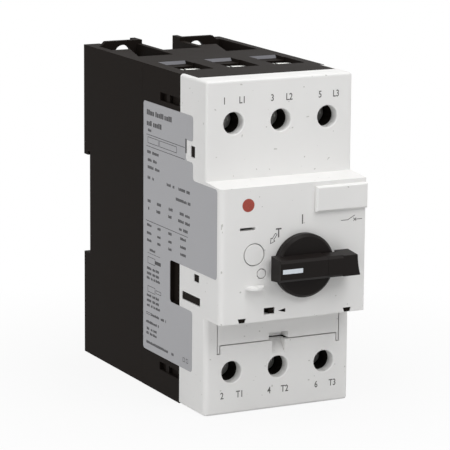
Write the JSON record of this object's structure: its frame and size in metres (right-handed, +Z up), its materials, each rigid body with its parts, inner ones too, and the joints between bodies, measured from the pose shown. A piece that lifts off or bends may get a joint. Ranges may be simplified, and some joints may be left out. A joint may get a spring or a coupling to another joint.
{
  "type": "motor protection breaker",
  "caption": "Box-shaped motor protection breaker with a white stepped cover, black rotary handle, screw clamps top and bottom and a rail seat in the rear face.",
  "frame": {"origin": "centre of the footprint, on the bottom face", "axes": "+X to the right seen from the front, +Y to the rear (towards the mounting rail), +Z up"},
  "size_m": [0.0541, 0.117, 0.1136],
  "materials": {
    "cover_plastic": "fine moulded texture",
    "housing_plastic": "semi-matt moulded",
    "knob_plastic": "semi-matt moulded",
    "index_white": "smooth",
    "label_foil": "satin printed foil",
    "latch_plastic": "moulded",
    "plated_steel": "zinc plated",
    "spring_steel": "drawn wire",
    "copper": "bare copper",
    "silver_contact": "silver alloy",
    "soft_iron": "bright soft iron",
    "fibre_board": "pressed fibre",
    "bobbin_plastic": "moulded",
    "carrier_plastic": "moulded",
    "bimetal_alloy": "rolled strip",
    "heater_wire": "resistance wire"
  },
  "bodies": {
    "housing": {"arc_cheeks": "fibre_board", "arc_plates": "soft_iron", "bimetals": "bimetal_alloy", "bobbins": "bobbin_plastic", "calibration_plug": "cover_plastic", "coil_links": "copper", "dial_cover": "cover_plastic", "fixed_contacts": "copper", "fixed_tips": "silver_contact", "front_cover": "cover_plastic", "heaters": "heater_wire", "housing_bolts": "plated_steel", "lever_pin": "plated_steel", "line_conductors": "copper", "load_conductors": "copper", "magnet_cores": "soft_iron", "magnet_yokes": "soft_iron", "marker_plate": "cover_plastic", "mechanism_frame": "plated_steel", "middle_housing": "housing_plastic", "rear_base": "housing_plastic", "side_label": "label_foil", "windings": "copper"},
    "handle": {"knob": "knob_plastic", "knob_index": "index_white", "handle_shaft": "plated_steel", "switch_cam": "knob_plastic", "shaft_clip": "plated_steel"},
    "lock_slide": {"padlock_slide": "knob_plastic"},
    "carrier": {"contact_carrier": "carrier_plastic", "contact_bridges": "copper", "moving_tips": "silver_contact", "contact_springs": "spring_steel", "opening_springs": "spring_steel"},
    "tester": {"test_slider": "housing_plastic", "test_spring": "spring_steel"},
    "trip": {"trip_bar": "carrier_plastic"},
    "lever": {"latch_lever": "plated_steel"},
    "latch": {"rail_latch": "latch_plastic", "latch_spring": "spring_steel"},
    "flap": {"accessory_flap": "cover_plastic"},
    "striker_1": {"plunger_1": "soft_iron", "plunger_spring_1": "spring_steel"},
    "line_screw_body_1": {"line_screw_1": "plated_steel"},
    "line_clamp_body_1": {"line_clamp_1": "plated_steel"},
    "load_screw_body_1": {"load_screw_1": "plated_steel"},
    "load_clamp_body_1": {"load_clamp_1": "plated_steel"},
    "striker_2": {"plunger_2": "soft_iron", "plunger_spring_2": "spring_steel"},
    "line_screw_body_2": {"line_screw_2": "plated_steel"},
    "line_clamp_body_2": {"line_clamp_2": "plated_steel"},
    "load_screw_body_2": {"load_screw_2": "plated_steel"},
    "load_clamp_body_2": {"load_clamp_2": "plated_steel"},
    "striker_3": {"plunger_3": "soft_iron", "plunger_spring_3": "spring_steel"},
    "line_screw_body_3": {"line_screw_3": "plated_steel"},
    "line_clamp_body_3": {"line_clamp_3": "plated_steel"},
    "load_screw_body_3": {"load_screw_3": "plated_steel"},
    "load_clamp_body_3": {"load_clamp_3": "plated_steel"}
  },
  "joints": [
    {"name": "handle_turn", "type": "hinge", "parent": "housing", "child": "handle", "pos_m": [0.0032, -0.04988, 0.0513], "axis": [0, 1, 0], "range_deg": [0, 90]},
    {"name": "lock_pull", "type": "slide", "parent": "handle", "child": "lock_slide", "axis": [1, 0, 0], "range_m": [0, 0.006]},
    {"name": "contact_close", "type": "slide", "parent": "housing", "child": "carrier", "axis": [0, 1, 0], "range_m": [0, 0.00451]},
    {"name": "test_push", "type": "slide", "parent": "housing", "child": "tester", "axis": [-1, 0, 0], "range_m": [0, 0.002], "stiffness_N_per_m": 200, "springref_m": -0.0005},
    {"name": "trip_turn", "type": "hinge", "parent": "housing", "child": "trip", "pos_m": [0, 0.01227, 0.0486], "axis": [-1, 0, 0], "range_deg": [0, 10.1]},
    {"name": "lever_turn", "type": "hinge", "parent": "housing", "child": "lever", "pos_m": [0.0042, -0.00923, 0.0406], "axis": [1, 0, 0], "range_deg": [0, 8.1]},
    {"name": "rail_release", "type": "slide", "parent": "housing", "child": "latch", "axis": [0, 0, -1], "range_m": [0, 0.004], "stiffness_N_per_m": 400, "springref_m": -0.001},
    {"name": "flap_pull", "type": "slide", "parent": "housing", "child": "flap", "axis": [0, -1, 0], "range_m": [0, 0.01]},
    {"name": "strike_1", "type": "slide", "parent": "housing", "child": "striker_1", "axis": [0, -1, 0], "range_m": [0, 0.0025], "stiffness_N_per_m": 150, "springref_m": -0.0005},
    {"name": "strike_2", "type": "slide", "parent": "housing", "child": "striker_2", "axis": [0, -1, 0], "range_m": [0, 0.0025], "stiffness_N_per_m": 150, "springref_m": -0.0005},
    {"name": "strike_3", "type": "slide", "parent": "housing", "child": "striker_3", "axis": [0, -1, 0], "range_m": [0, 0.0025], "stiffness_N_per_m": 150, "springref_m": -0.0005},
    {"name": "line_screw_turn_1", "type": "hinge", "parent": "housing", "child": "line_screw_body_1", "pos_m": [-0.01695, -0.03022, 0.0979], "axis": [0, 1, 0], "range_deg": [0, 1805]},
    {"name": "line_clamp_slide_1", "type": "slide", "parent": "housing", "child": "line_clamp_body_1", "axis": [0, -1, 0], "range_m": [0, 0.004]},
    {"name": "line_screw_turn_2", "type": "hinge", "parent": "housing", "child": "line_screw_body_2", "pos_m": [0.00045, -0.03022, 0.0979], "axis": [0, 1, 0], "range_deg": [0, 1805]},
    {"name": "line_clamp_slide_2", "type": "slide", "parent": "housing", "child": "line_clamp_body_2", "axis": [0, -1, 0], "range_m": [0, 0.004]},
    {"name": "line_screw_turn_3", "type": "hinge", "parent": "housing", "child": "line_screw_body_3", "pos_m": [0.01785, -0.03022, 0.0979], "axis": [0, 1, 0], "range_deg": [0, 1805]},
    {"name": "line_clamp_slide_3", "type": "slide", "parent": "housing", "child": "line_clamp_body_3", "axis": [0, -1, 0], "range_m": [0, 0.004]},
    {"name": "load_screw_turn_1", "type": "hinge", "parent": "housing", "child": "load_screw_body_1", "pos_m": [-0.01695, -0.03022, 0.0143], "axis": [0, 1, 0], "range_deg": [0, 1805]},
    {"name": "load_clamp_slide_1", "type": "slide", "parent": "housing", "child": "load_clamp_body_1", "axis": [0, -1, 0], "range_m": [0, 0.004]},
    {"name": "load_screw_turn_2", "type": "hinge", "parent": "housing", "child": "load_screw_body_2", "pos_m": [0.00045, -0.03022, 0.0143], "axis": [0, 1, 0], "range_deg": [0, 1805]},
    {"name": "load_clamp_slide_2", "type": "slide", "parent": "housing", "child": "load_clamp_body_2", "axis": [0, -1, 0], "range_m": [0, 0.004]},
    {"name": "load_screw_turn_3", "type": "hinge", "parent": "housing", "child": "load_screw_body_3", "pos_m": [0.01785, -0.03022, 0.0143], "axis": [0, 1, 0], "range_deg": [0, 1805]},
    {"name": "load_clamp_slide_3", "type": "slide", "parent": "housing", "child": "load_clamp_body_3", "axis": [0, -1, 0], "range_m": [0, 0.004]}
  ],
  "couplings": [
    {"joint": "contact_close", "follows": "handle_turn", "m_per_rad": 0.0028648},
    {"joint": "trip_turn", "follows": "test_push", "rad_per_m": 87.266},
    {"joint": "lever_turn", "follows": "test_push", "rad_per_m": 69.813},
    {"joint": "line_screw_turn_1", "follows": "line_clamp_slide_1", "rad_per_m": 7854},
    {"joint": "line_screw_turn_2", "follows": "line_clamp_slide_2", "rad_per_m": 7854},
    {"joint": "line_screw_turn_3", "follows": "line_clamp_slide_3", "rad_per_m": 7854},
    {"joint": "load_screw_turn_1", "follows": "load_clamp_slide_1", "rad_per_m": 7854},
    {"joint": "load_screw_turn_2", "follows": "load_clamp_slide_2", "rad_per_m": 7854},
    {"joint": "load_screw_turn_3", "follows": "load_clamp_slide_3", "rad_per_m": 7854}
  ]
}
